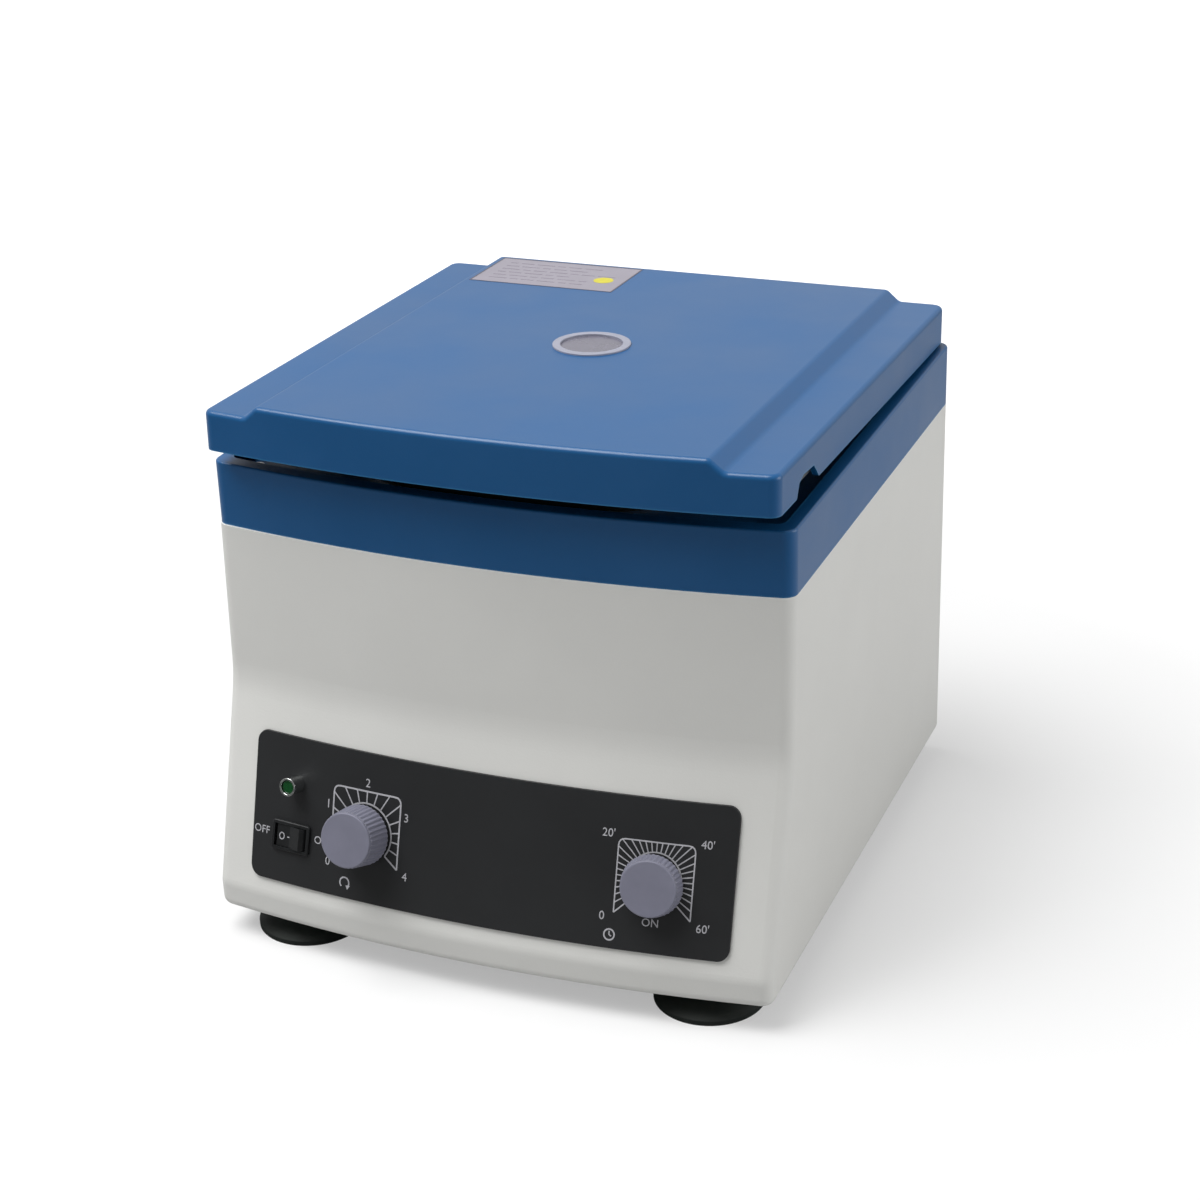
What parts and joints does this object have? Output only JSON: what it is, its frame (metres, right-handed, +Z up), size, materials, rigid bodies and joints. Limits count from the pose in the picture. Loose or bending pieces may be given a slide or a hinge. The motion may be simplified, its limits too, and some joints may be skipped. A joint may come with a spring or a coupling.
{
  "type": "low-speed centrifuge",
  "caption": "Bench centrifuge with a hinged blue lid and sight glass, sloped control panel with speed and time knobs, and a fixed-angle rotor in a spun bowl.",
  "frame": {"origin": "on the bench under the middle of the whole object's box, hinges and knobs included", "axes": "+X to the object's right seen from its front, +Y to the rear where the hinges are, +Z up"},
  "size_m": [0.3, 0.3396, 0.2845],
  "materials": {
    "housing_paint": "pale grey satin paint",
    "blue_plastic": "moulded blue plastic, satin",
    "liner_plastic": "light grey sheet plastic",
    "ring_plastic": "pale grey plastic",
    "clear": "clear, slightly frosted",
    "rubber": "black rubber",
    "steel": "plain steel",
    "zinc": "zinc plated",
    "bowl_steel": "spun stainless",
    "motor_paint": "black enamel",
    "cast_alloy": "as cast",
    "rotor_alloy": "turned and anodised",
    "sleeve_metal": "drawn, satin",
    "panel_black": "black printed plate",
    "black_plastic": "black moulding",
    "bright_metal": "bright plated",
    "green_lens": "green tinted",
    "knob_grey": "lavender grey moulding",
    "timer_case": "dark moulded case",
    "board_green": "green board"
  },
  "bodies": {
    "case": {"housing": "housing_paint", "base_plate": "steel", "rubber_feet": "rubber", "foot_screws": "zinc", "foot_nuts": "zinc", "base_screws": "zinc", "collar": "blue_plastic", "collar_screws": "zinc", "chamber_bowl": "bowl_steel", "chamber_seal": "rubber", "hinge_leaves_fixed": "steel", "hinge_pins": "steel", "hinge_screws_fixed": "zinc", "motor_can": "motor_paint", "motor_end_bells": "cast_alloy", "brush_caps": "black_plastic", "motor_plate": "steel", "motor_dampers": "rubber", "damper_bolts": "zinc", "damper_nuts": "zinc", "shaft_boot": "rubber", "control_panel": "panel_black", "switch_housing": "black_plastic", "lamp_bezel": "bright_metal", "lamp_lens": "green_lens", "potentiometer": "cast_alloy", "timer": "timer_case", "control_nuts": "zinc", "power_inlet": "black_plastic", "fuse_holder": "black_plastic", "fuse_cap": "black_plastic", "fuse": "clear", "board_spacers": "zinc", "circuit_board": "board_green", "heat_sink": "rotor_alloy", "capacitor": "timer_case"},
    "lid": {"lid_shell": "blue_plastic", "lid_liner": "liner_plastic", "liner_screws": "zinc", "window_ring": "ring_plastic", "window_pane": "clear", "hinge_leaves_lid": "steel", "hinge_screws_lid": "zinc"},
    "spinner": {"rotor": "rotor_alloy", "tube_sleeves": "sleeve_metal", "motor_shaft": "steel", "rotor_washer": "zinc", "rotor_nut": "zinc"},
    "speed_dial": {"speed_knob": "knob_grey", "speed_shaft": "steel"},
    "time_dial": {"time_knob": "knob_grey", "timer_shaft": "steel"},
    "rocker": {"power_rocker": "black_plastic"}
  },
  "joints": [
    {"name": "lid_hinge", "type": "hinge", "parent": "case", "child": "lid", "pos_m": [0, 0.16669, 0.2485], "axis": [-1, 0, 0], "range_deg": [-1.8, 80]},
    {"name": "rotor_spin", "type": "hinge", "parent": "case", "child": "spinner", "pos_m": [0, 0.01549, 0.1867], "axis": [0, 0, 1], "continuous": true},
    {"name": "speed_turn", "type": "hinge", "parent": "case", "child": "speed_dial", "pos_m": [-0.063, -0.14653, 0.0712], "axis": [0.0656, 0.9571, -0.2823], "range_deg": [0, 270]},
    {"name": "time_turn", "type": "hinge", "parent": "case", "child": "time_dial", "pos_m": [0.0895, -0.14463, 0.0702], "axis": [-0.0932, 0.9548, -0.2823], "range_deg": [-45, 270]},
    {"name": "rocker_tip", "type": "hinge", "parent": "case", "child": "rocker", "pos_m": [-0.10498, -0.14377, 0.06044], "axis": [0.0321, 0.2804, 0.9593], "range_deg": [0, 20]}
  ]
}
